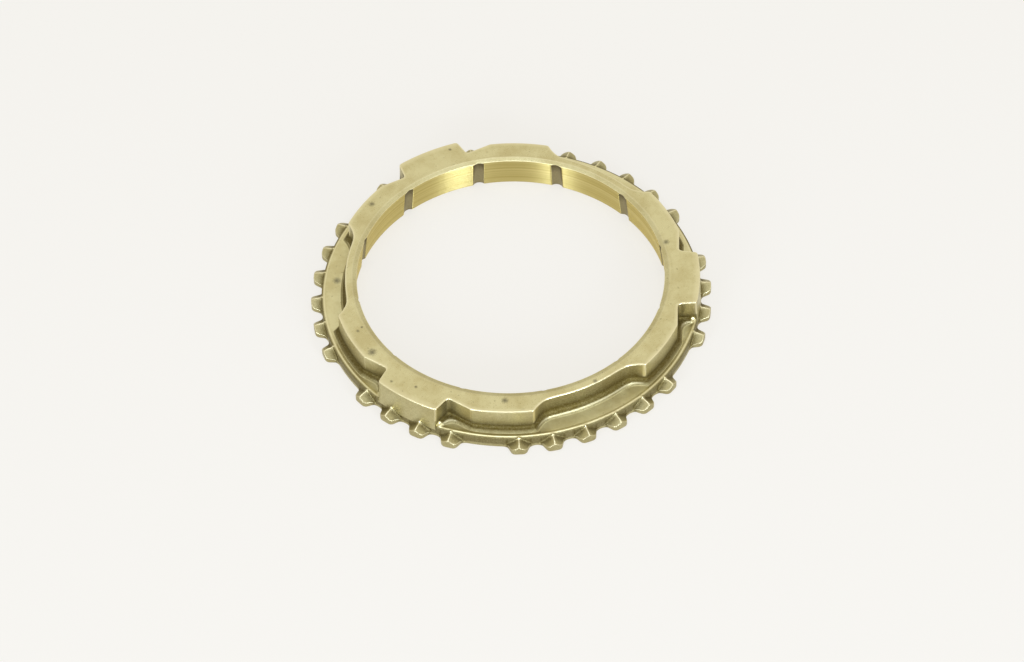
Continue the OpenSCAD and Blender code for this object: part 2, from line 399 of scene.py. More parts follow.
@dataclass(frozen=True)
class LockingTeeth:
    """Thirty teeth on 36 positions, each a tapered block under two locking faces."""

    pitch: float = 10.0
    lug_pitch: float = 120.0
    gap_angle: float = 25.0
    tip_r: float = 59.96
    tip_w: float = 4.1
    root_r: float = 57.35
    root_w: float = 6.3
    root_fillet: float = 1.3
    tip_corner: float = 1.0
    tip_edge: float = 0.45
    tip_round: float = 0.22
    ridge_z: float = 3.3
    ridge_rise: float = 0.4
    ridge_angle: float = 108.0
    ridge_round: float = 0.1
    ridge_worn: float = 0.4
    worn_reach: float = 1.1
    roof_half_w: float = 4.2
    ridge_end: float = 6.0
    rim_blend: float = 0.12
    foot_fillet: float = 0.5
    search_in: float = 2.0

    def local(self, phi: np.ndarray) -> tuple[np.ndarray, np.ndarray]:
        """Returns the angle from the nearest tooth position, and whether it has a tooth."""
        own = folded(phi - self.pitch / 2, self.pitch)
        centre = np.abs(folded(phi - own, self.lug_pitch))
        return own, np.abs(centre - self.gap_angle) > self.pitch / 4

    def outline(self, phi: np.ndarray, flange_r: float) -> np.ndarray:
        """Returns the outer radius of flange and teeth seen along the axis.

        A tooth is held between its tip circle and the two straight lines through its half
        widths. Its corners and the roots beside it are rounded.

        Args:
            phi: Angles round the axis.
            flange_r: Radius between the teeth.

        Returns:
            Outer radii.
        """
        own, there = self.local(phi)
        angle = np.radians(np.abs(own))
        lean = (self.root_w - self.tip_w) / 2 / (self.tip_r - self.root_r)
        across = 1.0 / math.hypot(1.0, lean)

        def distance(r: np.ndarray) -> np.ndarray:
            """Returns the distance outside the outline."""
            flank = r * np.sin(angle) - self.root_w / 2 + lean * (r * np.cos(angle) - self.root_r)
            tooth = smooth_max(r - self.tip_r, flank * across, self.tip_corner)
            return smooth_min(r - flange_r, np.where(there, tooth, NOWHERE), self.root_fillet)

        return crossing(distance, np.full(phi.shape, flange_r - self.search_in))

    def roof(self, r: np.ndarray, phi: np.ndarray, flange_r: float) -> np.ndarray:
        """Returns the height of the two locking faces.

        They fall from a ridge by the distance from the tooth's middle over the tangent of
        half the angle between them. The ridge rises a little from tip to flange, and use
        has rounded it at the tip. A fillet turns the faces up into the flange's wall.

        Args:
            r: Radii.
            phi: Angles round the axis.
            flange_r: Radius where the ridge is at its highest.

        Returns:
            Heights.
        """
        own, there = self.local(phi)
        wide = self.roof_half_w
        across = np.where(there, r * np.sin(np.radians(np.abs(own))), wide)
        rubbed = smooth_step(r, self.tip_r - self.worn_reach, self.tip_r)
        worn = self.ridge_round + self.ridge_worn * rubbed
        across = np.minimum(np.sqrt(across**2 + worn**2) - self.ridge_round, wide)
        ridge = self.ridge_z + self.ridge_rise * (self.tip_r - r) / (self.tip_r - flange_r)
        short = np.clip(self.foot_fillet - (r - flange_r), 0.0, self.foot_fillet)
        short = np.where(r < flange_r, 0.0, short)
        foot = self.foot_fillet - np.sqrt(self.foot_fillet**2 - short**2)
        return ridge - across / math.tan(math.radians(self.ridge_angle / 2)) + foot


class Region(Enum):
    """The finishes that one forging has, by the index of their material."""

    FORGED = 0
    TURNED = 1
    GROOVE = 2


@dataclass(frozen=True)
class WearDirtAndPaintedLight:
    """How bright the wear and painted highlights and how dark the dirt and painted shade are, 0 to
    1.

    A tuple holds one level for each row, from the gear side up or from the outside in, but
    for the tooth roofs' and the grooves' levels, a level and its rise.
    """

    # Wear and painted highlights: the tips and top edges are worn and brightened further, while
    # crest, bead, bevel and cone end carry painted highlights
    tip_wear: float = 0.5
    crest_wear: float = 0.8
    bead_wear: float = 0.48
    bead_loss: float = 0.75
    edge_wear: tuple[float, ...] = (0.6, 1.0, 1.0, 0.6)
    bevel_wear: float = 0.45
    cone_end_wear: float = 0.9
    # Painted shade on the sides, the teeth, their roots and roofs, the flange, web and rim, the
    # wall's foot, the lugs, the recesses, corners, hub face and bevel
    skin_shade: float = 0.4
    tooth_shade: float = 0.55
    root_shade: float = 0.85
    roof_shade: tuple[float, float] = (0.5, 0.42)
    flange_shade: float = 0.85
    web_shade: float = 0.1
    rim_shade: float = 0.75
    foot_shade: tuple[float, ...] = (0.6, 0.75, 0.85, 0.9, 0.95) + (1.0,) * 6
    lug_foot_shade: float = 0.45
    lug_shade: float = 0.05
    recess_shade: float = 0.32
    wall_shade: tuple[float, ...] = (0.35, 0.15, 0.05, 0.0, -0.1)
    corner_shade: float = 0.85
    face_shade: float = 0.25
    bevel_shade: float = 0.35
    # How much darker the grooves get towards their blind ends
    groove_end_darkening: tuple[float, float] = (0.2, 0.8)
    # Lines, by degrees from a tooth's or a lug's middle, or by radius
    ridge_line: Span = (0.0, 0.2)
    root_line: Span = (3.4, 0.7)
    corner_line: Span = (11.6, 0.7)
    crest_line: Span = (56.0, 0.18)
    # Steps: out from the flange, round from a tooth's and a lug's middle, and by radius
    tip_step: Span = (0.3, 1.1)
    side_step: Span = (0.25, 0.9)
    lug_step: Span = (12.0, 15.0)
    roof_step: Span = (57.0, 59.2)
    # Steps: out from the crest, by the wall's radius, in from the wide arc, and by height
    rim_step: Span = (0.2, 0.6)
    narrow_step: Span = (51.0, 52.6)
    recess_step: Span = (0.6, 2.4)
    cone_step: Span = (6.0, 10.4)


@dataclass
class RingSkin:
    """The ring's whole surface as one closed grid of rows and columns.

    A row goes round the axis, a column goes round the section. The arrays have one line
    for each row and one place for each column.
    """

    cone: FrictionCone = field(default_factory=FrictionCone)
    wall: HubWall = field(default_factory=HubWall)
    flange: Flange = field(default_factory=Flange)
    teeth: LockingTeeth = field(default_factory=LockingTeeth)
    age: WearDirtAndPaintedLight = field(default_factory=WearDirtAndPaintedLight)
    top_edge: float = 0.32
    flush_z: float = 4.0
    flush_w: float = 0.5
    spread_z: float = 10.5
    tooth_step: Span = (0.05, 0.7)
    round_step: Span = (0.5, 1.1)
    side_share: float = 0.45
    foot_share: float = 0.97
    foot_bend: float = 0.8
    seam: float = 0.01
    inset: float = 0.004

    def columns(self) -> np.ndarray:
        """Returns the angles of the columns, close together wherever the section changes.

        Returns:
            Sorted angles over the full turn.
        """
        beside = np.array(TOOTH_COLUMNS)
        tooth = np.concatenate([-beside, beside, [self.teeth.pitch / 2]])
        third = self.wall.lug_pitch
        half = np.concatenate(
            [tooth + centre for centre in TOOTH_CENTRES] + [GAP_COLUMNS, WALL_COLUMNS, [third / 2]])
        sector = np.unique(np.round(np.concatenate([half, -half]), 3))
        sector = sector[(sector > -third / 2) & (sector <= third / 2)]
        every = np.sort(np.concatenate([sector + third * turn for turn in range(3)]))
        return every[np.concatenate([[True], np.diff(every) > LEAST_COLUMN])]

    def outer_rows(self, phi: np.ndarray) -> list[Row]:
        """Returns the rows from the bottom face round the teeth up to the rim's shoulder.

        A tooth's lower edge is a quarter of a circle, and its upper one is a small rounding
        into the roof. The seam and the inset, a hundredth of a millimetre or less, keep the
        rows apart between the teeth, where all of them run up the flange's wall.

        Args:
            phi: The columns' angles.

        Returns:
            Radii and heights of each row.
        """
        flange, teeth = self.flange, self.teeth
        out = teeth.outline(phi, flange.outer_r)
        tooth = smooth_step(out - flange.outer_r, *self.tooth_step)
        edge = flange.base_edge + (teeth.tip_edge - flange.base_edge) * tooth
        rows = []
        for turn in np.radians([0, 30, 60, 90]):
            rows.append((out - edge * (1 - np.sin(turn)), edge * (1 - np.cos(turn))))
        soft = teeth.tip_round * tooth
        top = teeth.roof(out - soft, phi, flange.outer_r)
        rows.append((out - self.seam * tooth, edge + self.side_share * (top - edge)))
        for turn in np.radians([0, 30, 60]):
            drop = (soft + self.seam) * (1 - np.sin(turn))
            rows.append((out - soft * (1 - np.cos(turn)), top - drop))
        inner = np.minimum(flange.outer_r + self.inset, out - soft - self.inset)
        for share in ROOF_SHARES:
            r = (out - soft) + (inner - out + soft) * share
            lift = 3 * self.inset * share * (1 - tooth)
            rows.append((r, teeth.roof(r, phi, flange.outer_r) + lift))
        low = rows[-1][1]
        high = np.maximum(flange.shoulder_z, low)
        for step, share in enumerate(FLANGE_SHARES):
            r = np.minimum(flange.outer_r, inner - self.inset / 2 * (step + 1))
            rows.append((r, low + 2 * self.seam + (high - low) * share))
        return rows

    def shelf_rows(self, phi: np.ndarray, start_z: np.ndarray) -> list[Row]:
        """Returns the rows over the rim, the web and the ledge to the wall's foot.

        Where a lug's flank stands further out than a row, the row lies on the flank
        instead. Below a lug's outer face there is no shelf: the rows go straight up from
        the flange's wall, which is flush with the face but for a small slope.

        Args:
            phi: The columns' angles.
            start_z: Height of the row before, in each column.

        Returns:
            Radii and heights of each row.
        """
        flange, wall, teeth = self.flange, self.wall, self.teeth
        radii = [np.full_like(phi, r) for r in RIM_RADII]
        for number, level in enumerate(FOOT_LEVELS):
            # Away from the wall the rows round the lug's corner more, as the ledge does
            share = float(smooth_step(level, *self.round_step))
            fillet = wall.lug_fillet + (flange.ledge_fillet - wall.lug_fillet) * share
            line = wall.outline(phi, flange.ledge_z, level, fillet)
            radii.append(np.minimum(line, RIM_RADII[-1] - 0.06 - 0.05 * number))
        radii = np.array(radii)
        near = wall.distance(phi[None, :], radii, flange.ledge_z, wall.lug_fillet)
        away = wall.distance(phi[None, :], radii, flange.ledge_z, flange.ledge_fillet)
        from_lug = np.abs(folded(phi, wall.lug_pitch))
        in_recess = smooth_step(from_lug, *flange.recess_step)
        fillet = flange.foot_fillet + (flange.recess_fillet - flange.foot_fillet) * in_recess
        heights = flange.shelf(radii, away, near, fillet)
        roof = teeth.roof(radii, phi[None, :], flange.outer_r)
        # A tooth's ridge runs over the rim's crest and ends steeply behind it
        roof = roof - teeth.ridge_end * np.clip(flange.crest_r - radii, 0.0, None)
        heights = smooth_max(heights, roof, teeth.rim_blend)
        foot_z = flange.ledge_z + fillet
        share = np.linspace(0.0, self.foot_share, len(radii) + 1)[1:, None]
        inside = radii < wall.outline(phi, flange.ledge_z)[None, :]
        lifted = flange.crest_z + (foot_z - flange.crest_z) * share**self.foot_bend
        beside = np.where(near < fillet, heights, 0.0)
        peak = np.maximum.accumulate(np.where(inside, lifted, beside), axis=0)
        heights = np.where(inside, np.minimum(peak, foot_z), heights)
        flush = self.flush(phi)
        straight = start_z + (foot_z - start_z) * share
        floor = np.where(radii > flange.crest_r, np.minimum(start_z, flange.crest_z), 0.0)
        heights = np.where(flush > 0.0, straight, np.maximum(heights, floor))
        rows = []
        for line, z, within in zip(radii, heights, inside):
            rows.append((np.where((flush > 0.0) | within, self.face(phi, z), line), z))
        rows.append((self.face(phi, foot_z), foot_z))
        return rows

    def flush(self, phi: np.ndarray) -> np.ndarray:
        """Returns 1 where a lug's face runs down into the flange's wall, 0 off the lugs."""
        reach = self.wall.outline(phi, self.flush_z)
        return smooth_step(reach, self.flange.crest_r, self.flange.crest_r + self.flush_w)

    def face(self, phi: np.ndarray, z: np.ndarray | float) -> np.ndarray:
        """Returns the wall's radius, which meets the flange's wall below a lug.

        Args:
            phi: Angles round the axis.
            z: Heights.

        Returns:
            Radii.
        """
        flange = self.flange
        gap = np.maximum(flange.outer_r - self.wall.outline(phi, flange.shoulder_z), 0.0)
        spread = 1.0 - smooth_step(np.asarray(z), flange.shoulder_z, self.spread_z)
        return self.wall.outline(phi, z) + gap * spread * self.flush(phi)

    def points(self, phi: np.ndarray) -> tuple[np.ndarray, dict[str, slice]]:
        """Returns the grid of points, in millimetres, and which rows are which surface.

        The rows are turned round the axis, but for two surfaces that follow the wall's
        outline: the top edge, a quarter of a circle moved in along the outline's normal, and
        the hub face, which runs straight in from it to the bevel.

        Args:
            phi: The columns' angles.

        Returns:
            An array of rows, columns and x, y, z, and the rows of each named surface.
        """
        cone, wall = self.cone, self.wall
        around = np.stack([-np.sin(np.radians(phi)), np.cos(np.radians(phi))], axis=1)
        grid: list[np.ndarray] = []
        parts: dict[str, slice] = {}

        def put(name: str, lines: list[np.ndarray]) -> None:
            """Adds lines of points and notes which surface they make."""
            parts[name] = slice(len(grid), len(grid) + len(lines))
            grid.extend(lines)

        def turned(rows: list[Row]) -> list[np.ndarray]:
            """Returns each row as points: directions round the axis times radii, and heights."""
            return [np.column_stack([around * np.broadcast_to(r, phi.shape)[:, None],
                                     np.broadcast_to(z, phi.shape)]) for r, z in rows]

        mouth_r, low_groove = cone.radius(cone.mouth), cone.groove(phi, 0.0)
        mouth = ((mouth_r - 0.02, 0.62), (mouth_r + 0.04, 0.46),
                 (mouth_r + cone.mouth - 0.06, 0.07), (mouth_r + cone.mouth + 0.06, 0.0))
        put("mouth", turned([(r + low_groove, z) for r, z in mouth]))
        put("base", turned([(r, 0.0) for r in BASE_RADII]))
        put("outer", turned(self.outer_rows(phi)))
        put("shelf", turned(self.shelf_rows(phi, grid[-1][:, 2])))
        heights = (*WALL_HEIGHTS, wall.ring_h - self.top_edge)
        put("wall", turned([(self.face(phi, z), z) for z in heights]))

        rim = grid[-1]
        along = np.roll(rim, -1, axis=0) - np.roll(rim, 1, axis=0)
        outward = np.stack([along[:, 1], -along[:, 0]], axis=1)
        outward /= np.linalg.norm(outward, axis=1, keepdims=True)
        edge = []
        for turn in np.radians([24, 48, 70, 90]):
            plan = rim[:, :2] - outward * self.top_edge * (1 - math.cos(turn))
            height = wall.ring_h - self.top_edge * (1 - math.sin(turn))
            edge.append(np.column_stack([plan, np.full(phi.shape, height)]))
        put("edge", edge)

        bevel_r, last = cone.small_r + cone.bevel_w, grid[-1]
        inward = around * (bevel_r + cone.bevel_edge) - last[:, :2]
        put("face", [np.column_stack([last[:, :2] + inward * share, last[:, 2]])
                     for share in FACE_SHARES])
        end_groove, slope = cone.groove(phi, cone.top_z), cone.bevel_drop / cone.bevel_w
        bevel = []
        for off in BEVEL_OFFSETS:
            floor = cone.small_r + end_groove + 0.01 * (off + cone.bevel_w)
            height = wall.ring_h + (off + cone.cone_edge) * slope
            bevel.append((np.maximum(bevel_r + off, floor), height))
        put("bevel", turned(bevel))
        # The first row stands back a little, which softens the cone's edge at the bevel
        back = (cone.cone_edge,) + (0.0,) * (len(CONE_HEIGHTS) - 1)
        put("cone", turned([(cone.radius(z) + cone.groove(phi, z) + soft, z)
                            for z, soft in zip(CONE_HEIGHTS, back)]))
        return np.array(grid), parts

    def marks(
        self, phi: np.ndarray, grid: np.ndarray, parts: dict[str, slice]
    ) -> dict[str, np.ndarray]:
        """Returns where wear and painted highlights brighten the brass, where dirt and painted
        shade darken it, and where it is dull.

        Each mark is a level from the wear, dirt and painted light, faded by smooth steps and bell
        curves of the angle or the radius.

        Args:
            phi: The columns' angles.
            grid: The points.
            parts: The rows of each surface.

        Returns:
            Arrays of rows and columns, from 0 to 1: wear with painted highlights, grime with
                painted
            shade, and matte.
        """
        wall, flange, teeth, age = self.wall, self.flange, self.teeth, self.age
        # Wear and painted highlights, dirt and painted shade, and dullness
        wear, grime_and_shade, matte = np.zeros((3, *grid.shape[:2]))
        outer, shelf, upright, cone = (parts[n] for n in ("outer", "shelf", "wall", "cone"))
        tips = slice(outer.start + 6, outer.start + 9)
        roofs = slice(outer.start + 8, outer.stop)
        radius = np.hypot(grid[..., 0], grid[..., 1])
        own, there = teeth.local(phi)
        ridge = np.where(there, bell(own, *age.ridge_line), 0.0)
        root = np.where(there, bell(np.abs(own), *age.root_line), 0.0)
        side = np.where(there, smooth_step(np.abs(own), *age.side_step), 0.0)
        out = teeth.outline(phi, flange.outer_r)
        from_lug, flush = np.abs(folded(phi, wall.lug_pitch)), self.flush(phi)
        off_lug = 1.0 - flush
        reach = wall.outline(phi, flange.ledge_z)
        on_rim = smooth_step(radius[shelf], *(flange.crest_r + step for step in age.rim_step))

        # Wear on the teeth's ridges and tips, brightened further as a painted highlight
        wear[roofs] = ridge
        wear[tips] = np.maximum(
            wear[tips], age.tip_wear * smooth_step(out - flange.outer_r, *age.tip_step))
        # A painted highlight along the rim's crest
        crest = age.crest_wear * bell(radius[shelf], *age.crest_line)
        crest = crest * smooth_step(from_lug, *age.lug_step)
        wear[shelf] = np.maximum(ridge * on_rim * off_lug, crest)
        # The painted highlight on the ledge's bead is weaker where the web is narrow
        narrow = smooth_step(reach, *age.narrow_step) * off_lug
        bead = wear[shelf.stop - 9 : shelf.stop - 7]
        bead[:] = np.maximum(bead, age.bead_wear * off_lug * (1.0 - age.bead_loss * narrow))
        # Painted highlights on the upright corners, the top edges, the bevel and the cone's edge
        wear[upright] = wall.corner_wear(phi)
        wear[parts["edge"]] = np.array(age.edge_wear)[:, None]
        wear[parts["bevel"].start] = age.bevel_wear
        wear[cone.start - 1 : cone.start + 2] = age.cone_end_wear

        # Painted shade: away from the hub face the forged skin is a little darker
        grime_and_shade[: outer.start] = age.skin_shade
        # Painted shade on the teeth, deepest in the valleys at their roots and on their roofs near
        # the flange
        grime_and_shade[outer] = np.maximum(age.tooth_shade, age.root_shade * root)
        clean, rise = age.roof_shade
        inward = 1.0 - smooth_step(radius[roofs], *age.roof_step)
        grime_and_shade[roofs] = np.maximum(root, clean + rise * side * inward)
        # Painted shade on the flange's wall
        grime_and_shade[outer.stop - 4 : outer.stop] = np.maximum(root, age.flange_shade * (1.0 - ridge))
        # Painted shade on the web and on the rim's outer shoulder
        grime_and_shade[shelf] = (age.web_shade + age.rim_shade * on_rim) * (1.0 - ridge)
        # Painted shade down the fillet at the wall's foot, and below the lugs' faces
        grime_and_shade[shelf.stop - len(age.foot_shade) : shelf.stop] = np.array(age.foot_shade)[:, None]
        grime_and_shade[shelf] += (age.lug_foot_shade - grime_and_shade[shelf]) * flush
        # Painted shade in the recesses, low on the wall and in the lugs' corners
        deep = age.recess_shade * smooth_step(wall.wide_r - reach, *age.recess_step)
        rises = np.array(age.wall_shade)[:, None] * off_lug
        corner = age.corner_shade * bell(from_lug, *age.corner_line)
        dirt_and_shade = age.skin_shade + age.lug_shade * flush + deep + rises
        grime_and_shade[upright] = np.maximum(dirt_and_shade, corner)
        # A painted dark line on the hub face beside the bevel, and painted shade on the bevel
        grime_and_shade[parts["face"].stop - 2] = age.face_shade
        grime_and_shade[parts["bevel"]] = age.bevel_shade
        # The grooves are darker towards their blind ends
        clean, rise = age.groove_end_darkening
        grime_and_shade[cone] = clean + rise * smooth_step(grid[cone, :, 2], *age.cone_step)
        matte[shelf] = 1.0 - smooth_step(radius[shelf], flange.foot_r, flange.crest_r)
        return {"wear": np.clip(wear, 0, 1), "grime_and_shade": np.clip(grime_and_shade, 0, 1), "matte": matte}

    def regions(
        self, phi: np.ndarray, heights: np.ndarray, parts: dict[str, slice]
    ) -> np.ndarray:
        """Returns each face's finish: turned on cone and mouth, as forged elsewhere.

        Args:
            phi: The columns' angles.
            heights: The mean height of each row.
            parts: The rows of each surface.

        Returns:
            Material indices, one for each face.
        """
        index = np.full(heights.shape + phi.shape, Region.FORGED.value)
        middle = phi + np.diff(np.append(phi, phi[0] + 360.0)) / 2
        level = np.minimum((heights + np.roll(heights, -1)) / 2, self.cone.top_z)
        bore = np.zeros(len(heights), dtype=bool)
        bore[parts["bevel"].stop - 1 :] = True
        bore[: parts["mouth"].stop - 1] = True
        index[bore] = Region.TURNED.value
        cut = self.cone.groove(middle[None, :], level[:, None]) > 0.04
        index[bore[:, None] & cut] = Region.GROOVE.value
        return index

    def build(self) -> bpy.types.Object:
        """Builds the skin's mesh, with its marks, finishes and area-weighted normals.

        Returns:
            The new object, at the origin.
        """
        phi = self.columns()
        grid, parts = self.points(phi)
        rows, cols = grid.shape[:2]
        number = np.arange(rows * cols).reshape(rows, cols)
        above, right = np.roll(number, -1, axis=0), np.roll(number, -1, axis=1)
        diagonal = np.roll(above, -1, axis=1)
        faces = np.stack([number, above, diagonal, right], axis=-1).reshape(-1, 4)
        verts = grid.reshape(-1, 3) * MM
        mesh = bpy.data.meshes.new("synchronizer_ring_skin")
        mesh.from_pydata(verts.tolist(), [], faces.tolist())
        corners = verts[faces]
        area = np.cross(corners[:, 2] - corners[:, 0], corners[:, 3] - corners[:, 1])
        normal = np.zeros_like(verts)
        for corner in range(4):
            np.add.at(normal, faces[:, corner], area)
        normal /= np.maximum(np.linalg.norm(normal, axis=1, keepdims=True), 1e-20)
        for name, values in self.marks(phi, grid, parts).items():
            layer = mesh.attributes.new(name, "FLOAT", "POINT")
            layer.data.foreach_set("value", values.ravel().astype(np.float32))
        finishes = self.regions(phi, grid[..., 2].mean(axis=1), parts)
        mesh.polygons.foreach_set("material_index", finishes.ravel())
        mesh.polygons.foreach_set("use_smooth", np.ones(len(faces), dtype=bool))
        mesh.normals_split_custom_set_from_vertices(normal.tolist())
        mesh.update()
        piece = new_object("synchronizer_ring_forging", mesh)
        LOG.info("ring skin: %d rows, %d columns, %d triangles", rows, cols, 2 * len(faces))
        return piece


def new_object(name: str, data: bpy.types.ID) -> bpy.types.Object:
    """Puts a new object with its data into the scene, at the origin.

    Args:
        name: The object's name.
        data: Its mesh, lamp or camera.

    Returns:
        The object.
    """
    thing = bpy.data.objects.new(name, data)
    bpy.context.collection.objects.link(thing)
    return thing


def placed(axes: np.ndarray, spot: np.ndarray) -> Matrix:
    """Returns the matrix that turns an object to its own axes and puts it in its place.

    Args:
        axes: The directions of its x, y and z, as columns.
        spot: Its place in metres.

    Returns:
        The matrix.
    """
    matrix = np.eye(4)
    matrix[:3, :3], matrix[:3, 3] = axes, spot
    return Matrix(matrix.tolist())


def empty_tree(owner: bpy.types.Material | bpy.types.World) -> bpy.types.NodeTree:
    """Turns on the nodes of a material or a world, and removes those it starts with.

    Args:
        owner: The material or the world.

    Returns:
        The empty tree.
    """
    owner.use_nodes = True
    owner.node_tree.nodes.clear()
    return owner.node_tree


def add_node(
    tree: bpy.types.NodeTree,
    kind: str,
    settings: dict[str, object] | None = None,
    links: dict[str | int, object] | None = None,
) -> bpy.types.Node:
    """Adds one node with its settings and links.

    Args:
        tree: The node tree.
        kind: The node's type name.
        settings: Properties by name, and input values by a name or number after "in:".
        links: Output sockets by the name or number of the input that they go into.

    Returns:
        The new node.
    """
    node = tree.nodes.new(kind)
    for name, value in (settings or {}).items():
        if name.startswith("in:"):
            key = name[3:]
            node.inputs[int(key) if key.isdigit() else key].default_value = value
        else:
            setattr(node, name, value)
    for key, source in (links or {}).items():
        tree.links.new(source, node.inputs[key])
    return node


@dataclass(frozen=True)
class Finish:
    """What the finishes share: a material that each fills with nodes of its own."""

    name: str = "finish"

    def build(self) -> bpy.types.Material:
        """Builds the material, whose surface is the finish's shader.

        Returns:
            The material.
        """
        material = bpy.data.materials.new(self.name)
        tree = empty_tree(material)
        place = add_node(tree, "ShaderNodeTexCoord").outputs["Object"]
        shader = self.shader(tree, place)
        add_node(tree, "ShaderNodeOutputMaterial", None, {"Surface": shader.outputs[0]})
        return material

    def shader(self, tree: bpy.types.NodeTree, place: bpy.types.NodeSocket) -> bpy.types.Node:
        """Adds the finish's nodes, which read Object coordinates, and returns its shader."""
        raise NotImplementedError(self.name)


@dataclass(frozen=True)
class ForgedBrass(Finish):
    """Forged brass, tumbled after forging: a fine satin grain, dull pits, edges worn and lit
    with painted highlights, and dirt and painted shade in the hollows and on the sides.

    The tumbling took the skin off unevenly, in patches a few millimetres wide. Forged faces
    are never quite flat either, so broad waves make their reflections swim.
    """

    name: str = "forged_brass_tumbled"
    colour: str = "#DAD19F"
    patch: str = "#CABE8A"
    pit: str = "#857B55"
    # The dirt colour also paints shade into corners, valleys and side faces
    dirt_and_shade: str = "#554610"
    # The worn colour also paints highlights on edges, crests and ridges
    worn: str = "#F2E8BC"
    stain: str = "#6B6650"
    roughness: float = 0.31
    web_roughness: float = 0.2
    dirt_and_shade_roughness: float = 0.62
    worn_roughness: float = 0.36
    patch_mm: float = 9.0
    wave_mm: float = 3.5
    pit_mm: float = 1.1
    grain_mm: float = 0.45
    relief_mm: float = 0.02
    stains_mm: tuple[tuple[float, float, float, float], ...] = ()

    def shader(self, tree: bpy.types.NodeTree, place: bpy.types.NodeSocket) -> bpy.types.Node:
        """Adds the nodes: brass in two shades under pits, dirt and painted shade, worn edges and
        painted highlights, and stains.

        Args:
            tree: The material's tree.
            place: Object coordinates.

        Returns:
            The shader, which also reads the attributes of wear with painted highlights, of grime
            with painted shade, and of matteness.
        """
        wear, grime_and_shade, matte = (
            add_node(tree, "ShaderNodeAttribute", {"attribute_name": name}).outputs["Fac"]
            for name in ("wear", "grime_and_shade", "matte"))
        patches, grain, wave, pits = (
            add_node(tree, "ShaderNodeTexNoise",
                     {"in:Scale": 1 / (size * MM), "in:Detail": detail, "in:Roughness": ragged},
                     {"Vector": place}).outputs["Fac"]
            for size, detail, ragged in (
                (self.patch_mm, 6.0, 0.7), (self.grain_mm, 4.0, 0.7),
                (self.wave_mm, 1.0, 0.5), (self.pit_mm, 1.0, 0.5)))
        # The grain breaks up the dirt and painted shade in the corners, and rides on the waves
        broken, height = (
            add_node(tree, "ShaderNodeMath", {"operation": "MULTIPLY_ADD", "in:1": gain},
                     {0: source, 2: under}).outputs[0]
            for source, gain, under in ((grain, 0.5, grime_and_shade), (wave, 4.0, grain)))
        # Each layer's share, by what it is read from, where that starts and ends, and its most
        patched, pitted, dirt_and_shade_share, rubbed = (
            add_node(tree, "ShaderNodeMapRange",
                     {"in:From Min": start, "in:From Max": end, "in:To Max": most},
                     {"Value": source}).outputs["Result"]
            for source, start, end, most in (
                (patches, 0.4, 0.62, 1.0), (pits, 0.7, 0.78, 0.4),
                (broken, 0.45, 1.3, 0.96), (wear, 0.2, 0.9, 0.85)))
        base = add_node(tree, "ShaderNodeMix",
                        {"data_type": "RGBA", "in:6": srgb(self.colour), "in:7": srgb(self.patch)},
                        {0: patched}).outputs[2]
        # The dirt layer paints shade as well as dirt, and the worn layer paints highlights as well
        # as wear
        for share, colour in ((pitted, self.pit), (dirt_and_shade_share, self.dirt_and_shade), (rubbed, self.worn)):
            base = add_node(tree, "ShaderNodeMix", {"data_type": "RGBA", "in:7": srgb(colour)},
                            {0: share, 6: base}).outputs[2]
        for *centre, size in self.stains_mm:
            base = self.add_stain(tree, base, place, grain, centre, size)
        rough = add_node(tree, "ShaderNodeMapRange",
                         {"in:From Min": 0.3, "in:From Max": 0.7,
                          "in:To Min": self.roughness - 0.06, "in:To Max": self.roughness + 0.08},
                         {"Value": grain}).outputs["Result"]
        # The tumbling stones reach the web least, so it keeps its duller grain
        rough = add_node(tree, "ShaderNodeMath",
                         {"operation": "MULTIPLY_ADD", "in:1": self.web_roughness},
                         {0: matte, 2: rough}).outputs[0]
        for share, level in ((dirt_and_shade_share, self.dirt_and_shade_roughness), (rubbed, self.worn_roughness)):
            rough = add_node(tree, "ShaderNodeMix", {"data_type": "FLOAT", "in:3": level},
                             {0: share, 2: rough}).outputs[0]
        bump = add_node(tree, "ShaderNodeBump",
                        {"in:Strength": 0.4, "in:Distance": self.relief_mm * MM},
                        {"Height": height})
        return add_node(tree, "ShaderNodeBsdfPrincipled", {"in:Metallic": 1.0},
                        {"Base Color": base, "Roughness": rough, "Normal": bump.outputs[0]})

    def add_stain(
        self,
        tree: bpy.types.NodeTree,
        base: bpy.types.NodeSocket,
        place: bpy.types.NodeSocket,
        grain: bpy.types.NodeSocket,
        centre_mm: list[float],
        size_mm: float,
    ) -> bpy.types.NodeSocket:
        """Darkens a small ragged spot, where a pit or a knock holds dirt.

        Args:
            tree: The node tree.
            base: The colour so far.
            place: Object coordinates.
            grain: Fine noise that makes the spot's outline ragged.
            centre_mm: The spot's middle.
            size_mm: The spot's radius.

        Returns:
            The colour with the spot.
        """
        away = add_node(tree, "ShaderNodeVectorMath",
                        {"operation": "DISTANCE", "in:1": tuple(c * MM for c in centre_mm)},
                        {0: place}).outputs["Value"]
        ragged = add_node(tree, "ShaderNodeMath",
                          {"operation": "MULTIPLY_ADD", "in:1": 1.4 * size_mm * MM},
                          {0: grain, 2: away}).outputs[0]
        inside = add_node(tree, "ShaderNodeMapRange",
                          {"in:From Min": 0.9 * size_mm * MM, "in:From Max": 2.0 * size_mm * MM,
                           "in:To Min": 0.8, "in:To Max": 0.0}, {"Value": ragged})
        return add_node(tree, "ShaderNodeMix", {"data_type": "RGBA", "in:7": srgb(self.stain)},
                        {0: inside.outputs["Result"], 6: base}).outputs[2]


